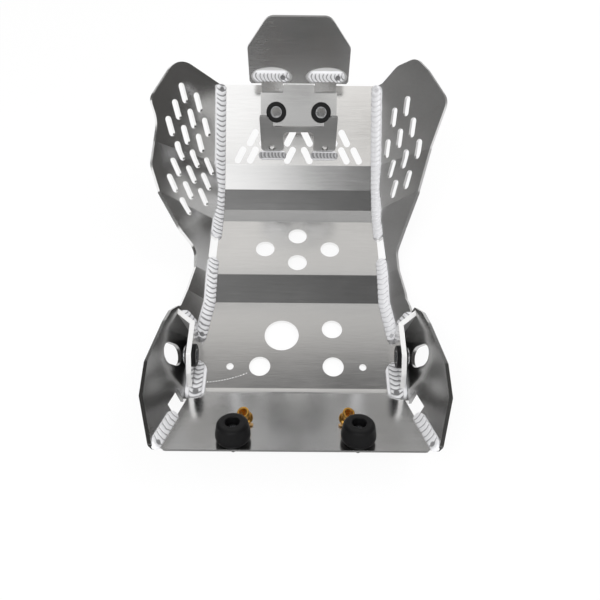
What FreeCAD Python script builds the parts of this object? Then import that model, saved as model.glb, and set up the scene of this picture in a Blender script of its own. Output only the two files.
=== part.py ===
import FreeCAD
import Part

import math
import os

from FreeCAD import Matrix, Vector

# A welded aluminium skid plate for the underside of an off-road motorcycle. All sizes are in
# millimetres. It is modelled with X across, Y towards the front wheel and Z up. Until the last
# step, y = 0 is the rear fold of the floor panel and z = 0 is the floor panel's upper face.

# Sheet metal
SHEET = 4.0
FOLD_RADIUS = 3.0
REAR_FOLD_RADIUS = 14.0
SLOT_LENGTH = 22.5
SLOT_WIDTH = 8.0

# Base plate, strip by strip from the rear fold: length of each strip and its rise in degrees
REAR_LENGTH, REAR_RISE = 83.0, 28.0
FLOOR_LENGTH = 107.5
STEP_LENGTH, STEP_RISE = 34.4, 12.5
MIDDLE_LENGTH = 81.0
CURVE_LENGTHS = (17.6, 26.8, 31.4)
CURVE_RISES = (9.0, 21.0, 31.0)
FRONT_LENGTH, FRONT_RISE = 95.0, 45.0

# Base plate, half widths
HALF_WIDTH = 98.0
FRONT_HALF_WIDTH = 95.5
EAR_HALF_WIDTH = 109.0
FLARE_END = 61.0
REAR_CORNER_RADIUS = 9.0

# Holes in the base plate
DRAIN_HOLE = 22.0
SUMP_HOLE = 36.8
SUMP_PLACE = (-16.2, 65.5)
FLOOR_HOLES = ((38.2, 73.4), (-38.2, 28.1), (38.2, 28.1))
SMALL_HOLE, SMALL_HOLE_PLACE = 7.5, (69.0, 27.6)
MIDDLE_CROSS = (38.2, 20.0)
MIDDLE_CROSS_PLACE = 38.0
FRONT_SLOT_LEAN = 28.0
FRONT_SLOT_PITCH = 15.5
FRONT_SLOT_FIRST = 10.5
FRONT_SLOT_ROWS = ((12.0, (0, 3, 4)), (33.0, (0, 1, 2, 3)))

# Side walls
WALL_LEAN = 48.0
WALL_END_LEAN = 49.0
DRAIN_GAP = (162.0, 195.0)
DRAIN_GAP_DEPTH = 3.0
DRAIN_GAP_HEIGHT = 5.5

# Rear wings
WING_LEAN = 67.5
WING_FRONT = ((4.0, -12.0, 0.0), (20.0, 36.0, 0.0), (8.0, 47.0, 8.0), (-8.0, 53.5, 14.0))
WING_CREST = ((0.0, 69.5, 3.0), (-33.0, 68.0, 3.0))
WING_REAR_MARGIN = (3.0, 2.5)
WING_HOLE_WIDTH, WING_HOLE_LENGTH, WING_HOLE_LEAN = 22.0, 30.0, 105.0
WING_HOLE_PLACE = (25.0, 34.0)
WING_GAP = (13.0, 36.6)
WING_GAP_DEPTH, WING_GAP_REACH = 3.5, 8.0

# Ears that carry the frame clamps
EAR_SHEET = 5.0
EAR_TOP = 34.0
EAR_PROFILE = ((24.5, 33.0, 3.0), (9.0, 20.0, 3.0), (1.5, 6.0, 2.0))
EAR_BOLT = (29.5, 20.5)
FLANGE_ANGLE = 50.0

# Rubber grommets and their steel bushes
GROMMET_DIAMETER = 23.2
GROMMET_SEAT = 16.0
GROMMET_LIP = 3.6
BUSH_OUTSIDE = 13.0
BUSH_BORE = 11.0
BUSH_FLANGE = 20.0
BUSH_FLANGE_THICKNESS = 1.6

# Front bracket
RISER_FOOT = 15.5
RISER_HALF_WIDTH = 46.0
RISER_LEG_INNER = 18.5
RISER_TOP = 46.8
RISER_ARCH = 31.0
RISER_INNER_TAPER, RISER_OUTER_TAPER, RISER_TAPER_HEIGHT = 5.0, 4.5, 6.0
RISER_HOLE, RISER_HOLE_PLACE = 8.0, (33.0, 7.0)
MOUNT_RISE = 50.0
MOUNT_HALF_WIDTH = 44.4
MOUNT_NOTCH = 30.0
MOUNT_SKIRT = 5.2
MOUNT_LENGTH = 32.3
MOUNT_TONGUE = 8.5
MOUNT_BOLT = (26.2, 10.0)
TAB_INNER = 18.3
TAB_HALF_WIDTH = 43.0
TAB_HEIGHT = 13.0
GUARD_RISE = 85.0
GUARD_BOTTOM = 8.3
GUARD_HALF_WIDTH = 56.8
GUARD_SIDE = 42.0
GUARD_TOP_HALF_WIDTH = 33.5
GUARD_HEIGHT = 74.5
GUARD_SIDE_ROUND, GUARD_TOP_ROUND = 6.0, 14.0

# Weld beads
WELD_FOOT_LEG, WELD_WALL_LEG = 7.3, 9.0
WELD_CROWN, WELD_ROOT = 5.2, 1.5
LOWER_WELD_END = 59.0
EAR_WELD_RUN = (-12.0, 33.0)
EAR_WELD_LEG, EAR_WELD_HEIGHT = 11.8, 6.0
FLANGE_WELD_PLACE, FLANGE_WELD_RISE = (13.5, 23.0), 40.0
FLANGE_WELD_LENGTH, FLANGE_WELD_LEG, FLANGE_WELD_HEIGHT = 24.0, 7.5, 6.5
GUARD_WELD_LENGTH, GUARD_WELD_WIDTH, GUARD_WELD_HEIGHT = 41.0, 13.6, 4.0
GUARD_WELD_LIFT = 4.5
RISER_WELD_LENGTH, RISER_WELD_WIDTH, RISER_WELD_HEIGHT = 34.0, 11.0, 2.8
RISER_WELD_DROP = 3.6

# Rubber bumpers with their screws, and the brass inserts beside them
BUMPER_PLACE = (56.0, 69.4)
BUMPER_FOOT, BUMPER_BELLY, BUMPER_SHOULDER = 26.5, 31.6, 27.6
BUMPER_HEIGHT, BUMPER_BELLY_TOP = 20.0, 8.0
BUMPER_SHOULDER_ROUND = 6.5
BUMPER_WELL, BUMPER_WELL_DEPTH = 12.6, 13.0
SCREW_SHANK, SCREW_HEAD, SCREW_HEAD_HEIGHT = 6.0, 10.0, 6.0
NUT_ACROSS, NUT_HEIGHT = 10.0, 5.0
WASHER_OUTSIDE, WASHER_THICKNESS = 16.0, 1.5
INSERT_LEAN, INSERT_BEARING = 27.0, 22.0
INSERT_FLANGE, INSERT_NECK, INSERT_COLLAR, INSERT_BORE = 13.0, 9.0, 11.5, 7.0
INSERT_HEIGHT, INSERT_EDGE = 14.0, 0.7

FAR = 400.0


def degrees_vector(angle):
    """The (y, z) direction that rises towards the front by this angle."""
    return Vector(0, math.cos(math.radians(angle)), math.sin(math.radians(angle)))


class Frame:
    """A flat working plane: a corner, two directions in the plane and its normal."""

    def __init__(self, corner, along, across):
        self.corner = Vector(corner)
        self.along = Vector(along).normalize()
        side = Vector(across) - self.along * self.along.dot(across)
        self.across = side.normalize()
        self.normal = self.along.cross(self.across).normalize()

    def point(self, s, u, height=0.0):
        return self.corner + self.along * s + self.across * u + self.normal * height

    def place(self, shape):
        """Moves a shape drawn in the XY plane into this frame."""
        a, b, c, o = self.along, self.across, self.normal, self.corner
        matrix = Matrix(a.x, b.x, c.x, o.x, a.y, b.y, c.y, o.y, a.z, b.z, c.z, o.z, 0, 0, 0, 1)
        return shape.transformShape(matrix, True) or shape

    def shifted(self, s=0.0, u=0.0, height=0.0):
        return Frame(self.point(s, u, height), self.along, self.across)


def rounded_face(corners):
    """A flat face in the XY plane from (x, y, radius) corners, each rounded by its radius."""
    edges = []
    ends = []
    count = len(corners)
    for i, (x, y, radius) in enumerate(corners):
        here = Vector(x, y, 0)
        before = Vector(*corners[i - 1][:2], 0) - here
        after = Vector(*corners[(i + 1) % count][:2], 0) - here
        half_turn = (math.pi - before.getAngle(after)) / 2
        if radius <= 0 or half_turn < 0.01:
            ends.append((here, here))
            continue
        trim = min(radius * math.tan(half_turn), 0.48 * before.Length, 0.48 * after.Length)
        start = here + before.normalize() * trim
        end = here + after.normalize() * trim
        size = trim / math.tan(half_turn)
        inward = (before + after).normalize()
        middle = here + inward * (size / math.cos(half_turn) - size)
        edges.append(Part.Arc(start, middle, end).toShape())
        ends.append((start, end))
    lines = []
    for i in range(count):
        start, end = ends[i][1], ends[(i + 1) % count][0]
        if start.distanceToPoint(end) > 1e-6:
            lines.append(Part.makeLine(start, end))
    wire = Part.Wire(Part.__sortEdges__(edges + lines))
    return Part.Face(wire)


def plate(frame, corners, thickness):
    """A flat sheet on the frame's plane, as thick as given along the frame's normal."""
    face = rounded_face(corners)
    return frame.place(face.extrude(Vector(0, 0, thickness)))


def half_space(point, normal):
    """A very large block that fills the side of a plane that its normal points to."""
    turned = FreeCAD.Rotation(Vector(0, 0, 1), normal)
    block = Part.makeBox(2 * FAR, 2 * FAR, FAR, Vector(-FAR, -FAR, 0))
    block.Placement = FreeCAD.Placement(point, turned)
    return block


def slot_cutter(frame, s, u, lean, depth, length=SLOT_LENGTH, width=SLOT_WIDTH):
    """A long round-ended slot through a sheet, centred at (s, u) and turned by its lean."""
    half = (length - width) / 2
    along = frame.along * math.cos(math.radians(lean)) + frame.across * math.sin(math.radians(lean))
    across = frame.normal.cross(along)
    centre = Frame(frame.point(s, u, -depth / 2), along, across)
    return plate(centre, round_ended(half, width / 2), depth)


def round_ended(half, r):
    """The corners of a strip with round ends: its half length without them, and their radius."""
    return [(-half - r, -r, r), (half + r, -r, r), (half + r, r, r), (-half - r, r, r)]


def cylinder(point, axis, diameter, length):
    return Part.makeCylinder(diameter / 2, length, point, axis)


def revolved(profile, point, axis):
    """A turned piece: a closed (radius, height, rounding) profile spun round an axis."""
    helper = Vector(0, 0, 1) if abs(axis.x) > 0.5 else Vector(1, 0, 0)
    face = Frame(point, axis.cross(helper), axis).place(rounded_face(profile))
    return face.revolve(point, axis, 360)


def mirrored(shape):
    return shape.mirror(Vector(0, 0, 0), Vector(1, 0, 0))


def strip_chain(start, strips):
    """The (y, z) points where a row of straight strips meets, from lengths and rises."""
    points = [start]
    for length, rise in strips:
        y, z = points[-1]
        step = degrees_vector(rise) * length
        points.append((y + step.y, z + step.z))
    return points


FRONT_STRIPS = [(FLOOR_LENGTH, 0.0), (STEP_LENGTH, STEP_RISE), (MIDDLE_LENGTH, 0.0)]
FRONT_STRIPS += list(zip(CURVE_LENGTHS, CURVE_RISES)) + [(FRONT_LENGTH, FRONT_RISE)]
FOLDS = strip_chain((0.0, 0.0), FRONT_STRIPS)
FLOOR_FRONT, MIDDLE_REAR, MIDDLE_FRONT, CURVE_A, CURVE_B, FRONT_FOLD, FRONT_TOP = FOLDS[1:]
REAR_STEP = degrees_vector(REAR_RISE) * REAR_LENGTH
REAR_END = (-REAR_STEP.y, REAR_STEP.z)
REAR_HALF_WIDTH = EAR_HALF_WIDTH + REAR_END[1] / math.tan(math.radians(WING_LEAN))


def section_line(points, depth):
    """The line of the strips moved down by a depth, with its corners on the fold bisectors."""
    moved = []
    for i, (y, z) in enumerate(points):
        normals = []
        for a, b in ((i - 1, i), (i, i + 1)):
            if a >= 0 and b < len(points):
                run = Vector(0, points[b][0] - points[a][0], points[b][1] - points[a][1]).normalize()
                normals.append(Vector(0, run.z, -run.y))
        bisector = (normals[0] + normals[-1]).normalize()
        reach = depth / bisector.dot(normals[0])
        moved.append((y + bisector.y * reach, z + bisector.z * reach))
    return moved


def fold_radii(points, upper):
    """A rounding for each fold: the inside of a bend is tight, its outside one sheet larger."""
    radii = [0.0]
    for before, here, after in zip(points, points[1:], points[2:]):
        turn = (here[0] - before[0]) * (after[1] - here[1]) - (here[1] - before[1]) * (after[0] - here[0])
        inside = (turn > 0) == upper
        bend = REAR_FOLD_RADIUS if len(radii) == 1 else FOLD_RADIUS
        radii.append(bend if inside else bend + SHEET)
    return radii + [0.0]


def side_section(corners, half_width):
    """Spreads a closed (y, z, radius) section across the plate, from -half_width to +half_width."""
    frame = Frame(Vector(-half_width, 0, 0), Vector(0, 1, 0), Vector(0, 0, 1))
    return plate(frame, corners, 2 * half_width)


def plan_corners():
    """The base plate's outline from above, right half then left half."""
    right = [
        (FRONT_HALF_WIDTH, FRONT_TOP[0], 0.0), (HALF_WIDTH, FRONT_FOLD[0], 0.0),
        (HALF_WIDTH, FLOOR_FRONT[0], 0.0), (EAR_HALF_WIDTH - EAR_SHEET, FLARE_END, 0.0),
        (EAR_HALF_WIDTH, FLARE_END, 0.0), (EAR_HALF_WIDTH, 0.0, 0.0),
        (REAR_HALF_WIDTH, REAR_END[0], 0.0),
    ]
    left = [(-x, y, radius) for x, y, radius in reversed(right)]
    return right + left


def plan_prism():
    """Everything straight above and below the base plate's outline."""
    low = Frame(Vector(0, 0, -FAR / 2), Vector(1, 0, 0), Vector(0, 1, 0))
    return plate(low, plan_corners(), FAR)


def above_underside():
    """The space above the base plate's underside, carried on past its two ends."""
    line = section_line([REAR_END] + FOLDS, SHEET)
    back = degrees_vector(REAR_RISE)
    ahead = degrees_vector(FRONT_RISE)
    first = (line[0][0] - back.y * FAR / 4, line[0][1] + back.z * FAR / 4)
    last = (line[-1][0] + ahead.y * FAR / 2, line[-1][1] + ahead.z * FAR / 2)
    closed = [first] + line + [last, (last[0], FAR), (first[0], FAR)]
    return side_section([(y, z, 0.0) for y, z in closed], FAR / 2)


def rear_frame(side=1):
    """The rear panel's upper face: along runs up the slope to the rear, across is outwards."""
    slope = Vector(0, -math.cos(math.radians(REAR_RISE)), math.sin(math.radians(REAR_RISE)))
    return Frame(Vector(0, 0, 0), slope, Vector(side, 0, 0))


def front_frame():
    """The front panel's upper face, from its fold: along is across the bike, across is up the slope."""
    return Frame(Vector(0, *FRONT_FOLD), Vector(1, 0, 0), degrees_vector(FRONT_RISE))


def base_plate():
    upper = [REAR_END] + FOLDS
    lower = section_line(upper, SHEET)
    top = [(y, z, r) for (y, z), r in zip(upper, fold_radii(upper, True))]
    under = [(y, z, r) for (y, z), r in zip(lower, fold_radii(lower, False))]
    sheet = side_section(top + under[::-1], FAR / 2)
    outline = plan_corners()
    corner_index = 6
    for i in (corner_index, len(outline) - 1 - corner_index):
        outline[i] = outline[i][:2] + (REAR_CORNER_RADIUS,)
    low = Frame(Vector(0, 0, -FAR / 2), Vector(1, 0, 0), Vector(0, 1, 0))
    sheet = sheet.common(plate(low, outline, FAR))
    cutters = [cylinder(Vector(x, y, -FAR / 4), Vector(0, 0, 1), DRAIN_HOLE, FAR / 2) for x, y in FLOOR_HOLES]
    reach, half_gap = MIDDLE_CROSS
    middle = MIDDLE_REAR[0] + MIDDLE_CROSS_PLACE
    for x, y in ((reach, middle), (-reach, middle), (0, middle + half_gap), (0, middle - half_gap)):
        cutters.append(cylinder(Vector(x, y, -FAR / 4), Vector(0, 0, 1), DRAIN_HOLE, FAR / 2))
    cutters.append(cylinder(Vector(*SUMP_PLACE, -FAR / 4), Vector(0, 0, 1), SUMP_HOLE, FAR / 2))
    for side in (-1, 1):
        x, y = SMALL_HOLE_PLACE
        cutters.append(cylinder(Vector(side * x, y, -FAR / 4), Vector(0, 0, 1), SMALL_HOLE, FAR / 2))
        cutters.append(drain_gap_cutter(side))
        cutters.append(wing_gap_cutter(side))
        rear = rear_frame()
        place = rear.point(BUMPER_PLACE[1], side * BUMPER_PLACE[0], -2 * SHEET)
        cutters.append(cylinder(place, rear.normal, SCREW_SHANK + 0.6, 4 * SHEET))
        front = front_frame()
        for rise, columns in FRONT_SLOT_ROWS:
            for column in columns:
                s = side * (FRONT_SLOT_FIRST + column * FRONT_SLOT_PITCH)
                lean = 90 + side * FRONT_SLOT_LEAN
                cutters.append(slot_cutter(front, s, rise, lean, 4 * SHEET))
    return sheet.cut(cutters)


def drain_gap_cutter(side):
    """The gap in the side weld where water drains, cut from the base edge and the wall foot."""
    rear, ahead = DRAIN_GAP
    low = MIDDLE_REAR[1] - 3 * SHEET
    high = MIDDLE_REAR[1] + DRAIN_GAP_HEIGHT
    box = Part.makeBox(4 * SHEET, ahead - rear, high - low, Vector(HALF_WIDTH - DRAIN_GAP_DEPTH, rear, low))
    return box if side > 0 else mirrored(box)


def wing_gap_cutter(side):
    """The relief beside the rear fold, cut from the rear panel's edge and the wing's foot."""
    first, last = WING_GAP
    frame = rear_frame(side)
    start, end = rear_edge_point(first)[0], rear_edge_point(last)[0]
    inner, outer = WING_GAP_DEPTH, WING_GAP_REACH
    outline = [(first, start - inner, 0.0), (last, end - inner, 0.0)]
    outline += [(last, end + outer, 0.0), (first, start + outer, 0.0)]
    deep = plate(frame.shifted(height=-3 * SHEET), outline, 6 * SHEET)
    back = plate(frame.shifted(height=3 * SHEET), outline, -6 * SHEET)
    return deep.fuse(back)


class Facet:
    """One flat facet of a side wall, standing on a straight stretch of the base plate's edge."""

    def __init__(self, side, foot_start, foot_end, lean):
        start = Vector(side * foot_start[0], foot_start[1], foot_start[2])
        end = Vector(side * foot_end[0], foot_end[1], foot_end[2])
        along = (end - start).normalize()
        outward = Vector(side * along.y, -side * along.x, 0).normalize()
        upward = outward.cross(along)
        if upward.z < 0:
            upward = -upward
        rise = math.radians(lean)
        self.start, self.end = start, end
        self.frame = Frame(start, along, outward * math.cos(rise) + upward * math.sin(rise))
        self.inward = self.frame.normal if self.frame.normal.z > 0 else -self.frame.normal

    def crease_with(self, other, point):
        """The direction of the crease that this facet shares with the next, up from the base."""
        crease = self.inward.cross(other.inward).normalize()
        return crease if crease.z > 0 else -crease

    def local(self, point):
        offset = point - self.frame.corner
        return offset.dot(self.frame.along), offset.dot(self.frame.across)

    def sheet(self, corners):
        outward = SHEET if self.frame.normal.z < 0 else -SHEET
        return plate(self.frame, corners, outward)


# The walls' outlines, facet by facet from the rear. A facet's corners are (along its foot from the
# rear, up the wall, rounding); creases holds how far up each crease runs to the wall's top edge.
LEFT_WALL = {
    "fold": MIDDLE_FRONT,
    "creases": (31.0, 22.4, 85.4, 94.7),
    "tops": (
        [(13.0, 38.5, 0.0), (23.4, 33.4, 2.0)],
        [],
        [(22.0, 25.5, 16.0), (36.0, 50.0, 30.0)],
        [(40.0, 97.0, 25.0)],
        [(42.0, 88.5, 38.0), (65.0, 97.7, 14.0), (116.2, 61.4, 26.0)],
    ),
    "slot_start": (77.0, 54.6),
    "slot_step_in": (-7.5, -20.9),
    "slot_step_back": (-19.4, 9.0),
    "slot_lean": 18.5,
    "slot_rows": ((0, 1), (0, 1, 2), (0, 1, 2), (1, 2, 3), (1, 2, 3), (1, 2, 3), (2,)),
}
RIGHT_WALL = {
    "fold": CURVE_A,
    "creases": (29.0, 21.3, 62.4, 79.2),
    "tops": (
        [(28.0, 29.7, 0.0), (38.0, 28.0, 2.0)],
        [],
        [(24.0, 21.5, 18.0), (48.0, 36.0, 60.0)],
        [],
        [(66.0, 98.5, 16.0), (101.7, 72.0, 20.0), (117.5, 56.0, 14.0), (113.0, 30.0, 20.0), (97.0, 8.0, 0.0)],
    ),
    "slot_start": (66.3, 44.3),
    "slot_step_in": (-10.7, -18.2),
    "slot_step_back": (-24.9, 8.9),
    "slot_lean": 8.5,
    "slot_rows": ((0, 1), (0, 1, 2), (0, 1, 2), (1, 2)),
}


def wall_facets(side, wall):
    fold = wall["fold"]
    flare = (EAR_HALF_WIDTH - EAR_SHEET, FLARE_END, 0.0)
    floor = (HALF_WIDTH,) + FLOOR_FRONT
    middle = (HALF_WIDTH,) + MIDDLE_REAR
    bend = (HALF_WIDTH,) + fold
    front = (HALF_WIDTH,) + FRONT_FOLD
    top = (FRONT_HALF_WIDTH,) + FRONT_TOP
    feet = (flare, floor, middle, bend, front, top)
    leans = (WALL_END_LEAN,) + (WALL_LEAN,) * 4
    return [Facet(side, a, b, lean) for a, b, lean in zip(feet, feet[1:], leans)]


def side_wall(side, wall):
    """A front side wall: five facets mitred at their creases, trimmed to the base and slotted."""
    facets = wall_facets(side, wall)
    below = -3 * SHEET
    solids = []
    creases = [a.crease_with(b, a.end) for a, b in zip(facets, facets[1:])]
    for i, facet in enumerate(facets):
        length = (facet.end - facet.start).Length
        corners = []
        if i == 0:
            corners += [(-SHEET, below, 0.0), (-SHEET, wall["tops"][0][0][1], 0.0)]
        else:
            corners += [crease_corner(facet, facets[i].start, creases[i - 1], below, -SHEET)]
            corners += [crease_corner(facet, facets[i].start, creases[i - 1], wall["creases"][i - 1], -SHEET)]
            corners += [crease_corner(facet, facets[i].start, creases[i - 1], wall["creases"][i - 1], 0.0)]
        corners += wall["tops"][i]
        if i < len(facets) - 1:
            corners += [crease_corner(facet, facet.end, creases[i], wall["creases"][i], 0.0)]
            corners += [crease_corner(facet, facet.end, creases[i], wall["creases"][i], SHEET)]
            corners += [crease_corner(facet, facet.end, creases[i], below, SHEET)]
        else:
            corners += [(length, 0.0, 0.0), (length, below, 0.0)]
        solid = facet.sheet(corners)
        if i > 0:
            solid = solid.common(mitre(facets[i - 1], facet, creases[i - 1], facet.start, 1))
        if i < len(facets) - 1:
            solid = solid.common(mitre(facet, facets[i + 1], creases[i], facet.end, -1))
        solids.append(solid)
    body = solids[0].fuse(solids[1:]).removeSplitter()
    body = body.common(above_underside()).cut(plan_prism())
    body = body.cut([drain_gap_cutter(side), behind_flange(side)] + wall_slots(facets, wall, creases[-1]))
    return largest(body)


def crease_corner(facet, point, crease, height, past):
    """A corner on a crease in the facet's own plane, moved a little past it along the foot."""
    s, u = facet.local(point + crease * height)
    return (s + past, u, 0.0)


def mitre(rear, front, crease, point, towards):
    """The side of the mitre plane between two facets that one of them keeps."""
    across = (rear.inward + front.inward).normalize()
    normal = crease.cross(across).normalize()
    ahead = front.frame.along
    if normal.dot(ahead) * towards < 0:
        normal = -normal
    return half_space(point, normal)


def wall_slots(facets, wall, crease):
    """Slots on one slanted lattice of the flat sheet, so that they carry on across the crease."""
    front, bend = facets[-1], facets[-2]
    cutters = []
    k_front = Vector(*[crease.dot(v) for v in (front.frame.along, front.frame.across)], 0)
    k_bend = Vector(*[crease.dot(v) for v in (bend.frame.along, bend.frame.across)], 0)
    turn = math.atan2(k_bend.y, k_bend.x) - math.atan2(k_front.y, k_front.x)
    length = (bend.end - bend.start).Length
    for back, row in enumerate(wall["slot_rows"]):
        for inward in row:
            s = wall["slot_start"][0] + inward * wall["slot_step_in"][0] + back * wall["slot_step_back"][0]
            u = wall["slot_start"][1] + inward * wall["slot_step_in"][1] + back * wall["slot_step_back"][1]
            if s * k_front.y > u * k_front.x:
                cutters.append(slot_cutter(front.frame, s, u, wall["slot_lean"], 6 * SHEET))
            else:
                x = s * math.cos(turn) - u * math.sin(turn) + length
                y = s * math.sin(turn) + u * math.cos(turn)
                lean = wall["slot_lean"] + math.degrees(turn)
                cutters.append(slot_cutter(bend.frame, x, y, lean, 6 * SHEET))
    return cutters


def largest(shape):
    """The largest solid of a result, without the crumbs that a cut can leave."""
    return max(shape.Solids, key=lambda solid: solid.Volume)


def flange_frame(side):
    """The vertical plane of an ear flange's front face, from the ear's bend line outwards."""
    turn = math.radians(FLANGE_ANGLE)
    outwards = Vector(side * math.sin(turn), math.cos(turn), 0)
    bend = Vector(side * (EAR_HALF_WIDTH - EAR_SHEET), FLARE_END, 0)
    return facing(Frame(bend, outwards, Vector(0, 0, 1)), Vector(-side, 1, 0))


def behind_flange(side):
    """All that lies behind an ear flange's front face, which the wall stops at."""
    frame = flange_frame(side)
    return half_space(frame.corner, -frame.normal)


def wing_frame(side):
    """The wing's inner face: along is forwards, across is up the wing from its foot."""
    rise = math.radians(WING_LEAN)
    up = Vector(side * math.cos(rise), 0, math.sin(rise))
    return Frame(Vector(side * EAR_HALF_WIDTH, 0, 0), Vector(0, 1, 0), up)


def rear_wing(side):
    """A rear side wing, flat from the ear flange back to the rear corner."""
    frame = wing_frame(side)
    rear = REAR_END[1] / math.sin(math.radians(WING_LEAN))
    back, above = WING_REAR_MARGIN
    outline = [(FLARE_END + y, u, radius) for y, u, radius in WING_FRONT] + list(WING_CREST)
    outline += [(REAR_END[0] + back, rear + above, SHEET), (REAR_END[0], rear - 3 * SHEET, 0.0)]
    outline += [(REAR_END[0] / 2, -3 * SHEET, 0.0)]
    outward = SHEET if frame.normal.x * side > 0 else -SHEET
    sheet = plate(frame, outline, outward)
    sheet = sheet.common(above_underside()).cut(plan_prism())
    y, u = WING_HOLE_PLACE
    hole = slot_cutter(frame, y, u, WING_HOLE_LEAN, 4 * SHEET, WING_HOLE_LENGTH, WING_HOLE_WIDTH)
    return largest(sheet.cut([hole, wing_gap_cutter(side)]))


def ear(side):
    """A thick upright ear with its front end bent outwards to close off the wing."""
    inner = side * (EAR_HALF_WIDTH - EAR_SHEET)
    frame = facing(Frame(Vector(inner, 0, 0), Vector(0, 1, 0), Vector(0, 0, 1)), Vector(side, 0, 0))
    outline = [(0.5, 0.0, 0.0), (FLARE_END, 0.0, 0.0), (FLARE_END, EAR_TOP, 0.0)] + list(EAR_PROFILE)
    if frame.along.y < 0:
        outline = [(-y, z, radius) for y, z, radius in outline]
    flange = flange_frame(side)
    direction = 1 if flange.along.y > 0 else -1
    reach = direction * 2 * EAR_TOP
    wide = [(x, z, 0.0) for x, z in ((-direction * EAR_SHEET, 0.0), (reach, 0.0), (reach, EAR_TOP))]
    wide += [(-direction * EAR_SHEET, EAR_TOP, 0.0)]
    bend = flange.corner
    ahead = (flange.along * direction + Vector(0, 1, 0)).normalize()
    upright = plate(frame, outline, EAR_SHEET).common(half_space(bend, -ahead))
    wide = plate(flange, wide, -EAR_SHEET).common(half_space(bend, ahead))
    wing = facing(wing_frame(side), Vector(-side, 0, 0))
    wide = wide.common(half_space(wing.corner, wing.normal))
    body = upright.fuse(wide).removeSplitter()
    y, z = EAR_BOLT
    seat = cylinder(Vector(inner - side * EAR_SHEET, y, z), Vector(side, 0, 0), GROMMET_SEAT, 3 * EAR_SHEET)
    return body.cut(seat)


def riser_origin():
    """The middle of the riser's foot, on the front panel."""
    return front_frame().point(0, RISER_FOOT)


def mount_frame():
    """The front mounting plate's upper face, from where it meets the riser's rear face."""
    corner = riser_origin() + Vector(0, 0, RISER_TOP)
    return Frame(corner, Vector(1, 0, 0), degrees_vector(MOUNT_RISE))


def riser():
    """The upright under the front mounting plate: two legs, an arch and two locating tabs."""
    foot = riser_origin()
    frame = Frame(foot, Vector(1, 0, 0), Vector(0, 0, 1))
    forward = SHEET if frame.normal.y > 0 else -SHEET
    tab_top = RISER_TOP + SHEET * math.tan(math.radians(MOUNT_RISE)) + 0.8
    notch = MOUNT_NOTCH + 0.3
    outline = [
        (RISER_LEG_INNER + RISER_INNER_TAPER, 0.0, 0.0), (RISER_HALF_WIDTH - RISER_OUTER_TAPER, 0.0, 0.0),
        (RISER_HALF_WIDTH, RISER_TAPER_HEIGHT, 2.0),
        (RISER_HALF_WIDTH, tab_top, 2.0), (notch, tab_top, 1.0), (notch, RISER_TOP - 2 * SHEET, 0.0),
    ]
    outline += [(-x, z, r) for x, z, r in reversed(outline)]
    arch = [
        (-RISER_LEG_INNER - 5.0, 0.0, 0.0), (-RISER_LEG_INNER, 6.0, 2.0), (-RISER_LEG_INNER, RISER_ARCH, 6.0),
        (RISER_LEG_INNER, RISER_ARCH, 6.0), (RISER_LEG_INNER, 6.0, 2.0),
    ]
    body = plate(frame, outline + arch, forward)
    x, z = RISER_HOLE_PLACE
    spots = [frame.point(side * x, z, -2 * SHEET) for side in (-1, 1)]
    return body.cut([cylinder(spot, frame.normal, RISER_HOLE, 4 * SHEET) for spot in spots])


def front_mount_plate():
    """The front mounting plate, notched over the riser and with two tabs bent up to the guard."""
    frame = mount_frame()
    down = -SHEET if frame.normal.z > 0 else SHEET
    notch_top = SHEET / math.cos(math.radians(MOUNT_RISE)) + 0.3
    half = [
        (MOUNT_NOTCH, -MOUNT_SKIRT, 0.0), (MOUNT_NOTCH, notch_top, 0.0), (MOUNT_HALF_WIDTH, notch_top, 1.0),
        (MOUNT_HALF_WIDTH, MOUNT_LENGTH, 0.0), (TAB_INNER, MOUNT_LENGTH, 0.0),
        (TAB_INNER - 1.0, MOUNT_LENGTH + MOUNT_TONGUE, 0.0),
    ]
    body = plate(frame, half + [(-x, s, r) for x, s, r in reversed(half)], down)
    for side in (-1, 1):
        body = body.fuse(guard_tab(side))
    x, s = MOUNT_BOLT
    spots = [frame.point(side * x, s, -2 * SHEET) for side in (-1, 1)]
    bores = [cylinder(spot, frame.normal, GROMMET_SEAT, 4 * SHEET) for spot in spots]
    return body.cut(bores).removeSplitter()


def tab_frame():
    """The rear face of the tabs and of the front guard, from the bend in the mounting plate."""
    bend = mount_frame().point(0, MOUNT_LENGTH)
    return Frame(bend, Vector(1, 0, 0), degrees_vector(GUARD_RISE))


def guard_tab(side):
    """A tab bent up from the mounting plate, rounded at its bend."""
    frame, lower = tab_frame(), mount_frame()
    depth = -SHEET if frame.normal.z > 0 else SHEET
    start, bend, end = lower.point(0, MOUNT_LENGTH - 3 * SHEET), frame.corner, frame.point(0, TAB_HEIGHT)
    line = [(start.y, start.z), (bend.y, bend.z), (end.y, end.z)]
    under = section_line(line, abs(depth))
    radii = (0.0, FOLD_RADIUS, 0.0)
    outer = (0.0, FOLD_RADIUS + SHEET, 0.0)
    corners = [(y, z, r) for (y, z), r in zip(line, radii)]
    corners += [(y, z, r) for (y, z), r in reversed(list(zip(under, outer)))]
    width = TAB_HALF_WIDTH - TAB_INNER
    tab = side_section(corners, width / 2)
    tab.translate(Vector(side * (TAB_INNER + width / 2), 0, 0))
    return tab


def front_guard():
    """The eight-sided stone guard that stands on the front mounting plate's tabs."""
    frame = tab_frame().shifted(height=-SHEET if tab_frame().normal.z > 0 else SHEET)
    forward = -SHEET if frame.normal.z > 0 else SHEET
    half = [
        (GUARD_HALF_WIDTH - 2.0, GUARD_BOTTOM, 0.0), (GUARD_HALF_WIDTH, GUARD_BOTTOM + 3.0, 0.0),
        (GUARD_HALF_WIDTH, GUARD_BOTTOM + GUARD_SIDE, GUARD_SIDE_ROUND),
        (GUARD_TOP_HALF_WIDTH, GUARD_BOTTOM + GUARD_HEIGHT, GUARD_TOP_ROUND),
    ]
    return plate(frame, half + [(-x, s, r) for x, s, r in reversed(half)], forward)


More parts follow.
